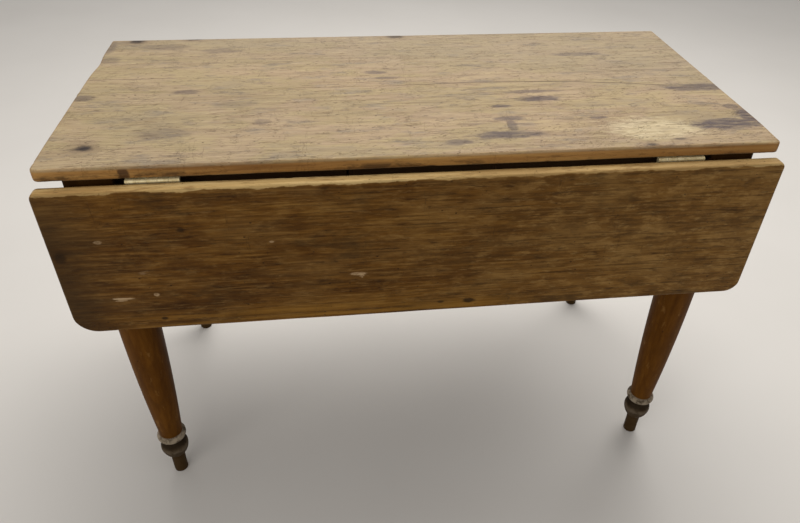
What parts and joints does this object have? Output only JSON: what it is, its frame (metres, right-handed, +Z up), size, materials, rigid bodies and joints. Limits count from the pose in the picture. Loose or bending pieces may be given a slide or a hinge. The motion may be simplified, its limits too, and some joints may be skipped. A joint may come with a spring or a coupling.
{
  "type": "drop leaf table",
  "caption": "Old pine drop leaf table: a scrubbed plank top, hinged hanging leaves with rounded lower corners, and turned tapering legs with ring, bulb and peg feet.",
  "frame": {"origin": "on the floor, under the middle of the table top", "axes": "+Z up, +X along the length of the top, -Y towards the front leaf"},
  "size_m": [1.13, 0.5696, 0.738],
  "materials": {
    "scrubbed_pine": "worn, scrubbed, matt",
    "dark_pine": "old dark stain, satin, chipped edges",
    "turned_pine": "old dark stain, satin",
    "frame_pine": "unfinished, aged",
    "peg_wood": "aged end grain",
    "hinge_brass": "dull, aged",
    "screw_steel": "dull, aged",
    "iron_pin": "dark, aged"
  },
  "bodies": {
    "frame": {"front_fly_pin": "iron_pin", "front_inner_rail": "frame_pine", "front_left_hinge_pin": "iron_pin", "front_left_hinge_top_plate": "hinge_brass", "front_left_leg": "turned_pine", "front_outer_rail_hinged": "frame_pine", "front_outer_rail_plain": "frame_pine", "front_right_hinge_pin": "iron_pin", "front_right_hinge_top_plate": "hinge_brass", "front_right_leg": "turned_pine", "front_top_hinge_screws": "screw_steel", "glue_blocks": "frame_pine", "left_end_rail": "frame_pine", "rear_fly_pin": "iron_pin", "rear_inner_rail": "frame_pine", "rear_left_hinge_pin": "iron_pin", "rear_left_hinge_top_plate": "hinge_brass", "rear_left_leg": "turned_pine", "rear_outer_rail_hinged": "frame_pine", "rear_outer_rail_plain": "frame_pine", "rear_right_hinge_pin": "iron_pin", "rear_right_hinge_top_plate": "hinge_brass", "rear_right_leg": "turned_pine", "rear_top_hinge_screws": "screw_steel", "right_end_rail": "frame_pine", "tenon_pegs": "peg_wood", "top_board_front": "scrubbed_pine", "top_board_rear": "scrubbed_pine", "top_screws": "screw_steel"},
    "front_leaf": {"front_leaf": "dark_pine", "front_leaf_hinge_screws": "screw_steel", "front_left_hinge_leaf_plate": "hinge_brass", "front_right_hinge_leaf_plate": "hinge_brass"},
    "rear_leaf": {"rear_leaf": "dark_pine", "rear_leaf_hinge_screws": "screw_steel", "rear_left_hinge_leaf_plate": "hinge_brass", "rear_right_hinge_leaf_plate": "hinge_brass"},
    "front_fly_bracket": {"front_fly_bracket": "frame_pine"},
    "rear_fly_bracket": {"rear_fly_bracket": "frame_pine"}
  },
  "joints": [
    {"name": "front_leaf_hinge", "type": "hinge", "parent": "frame", "child": "front_leaf", "pos_m": [0, -0.26075, 0.714], "axis": [-1, 0, 0], "range_deg": [0, 90]},
    {"name": "rear_leaf_hinge", "type": "hinge", "parent": "frame", "child": "rear_leaf", "pos_m": [0, 0.26075, 0.714], "axis": [1, 0, 0], "range_deg": [0, 90]},
    {"name": "front_fly_hinge", "type": "hinge", "parent": "frame", "child": "front_fly_bracket", "pos_m": [-0.11, -0.217, 0.678], "axis": [0, 0, -1], "range_deg": [0, 8]},
    {"name": "rear_fly_hinge", "type": "hinge", "parent": "frame", "child": "rear_fly_bracket", "pos_m": [0.11, 0.217, 0.678], "axis": [0, 0, -1], "range_deg": [0, 8]}
  ]
}
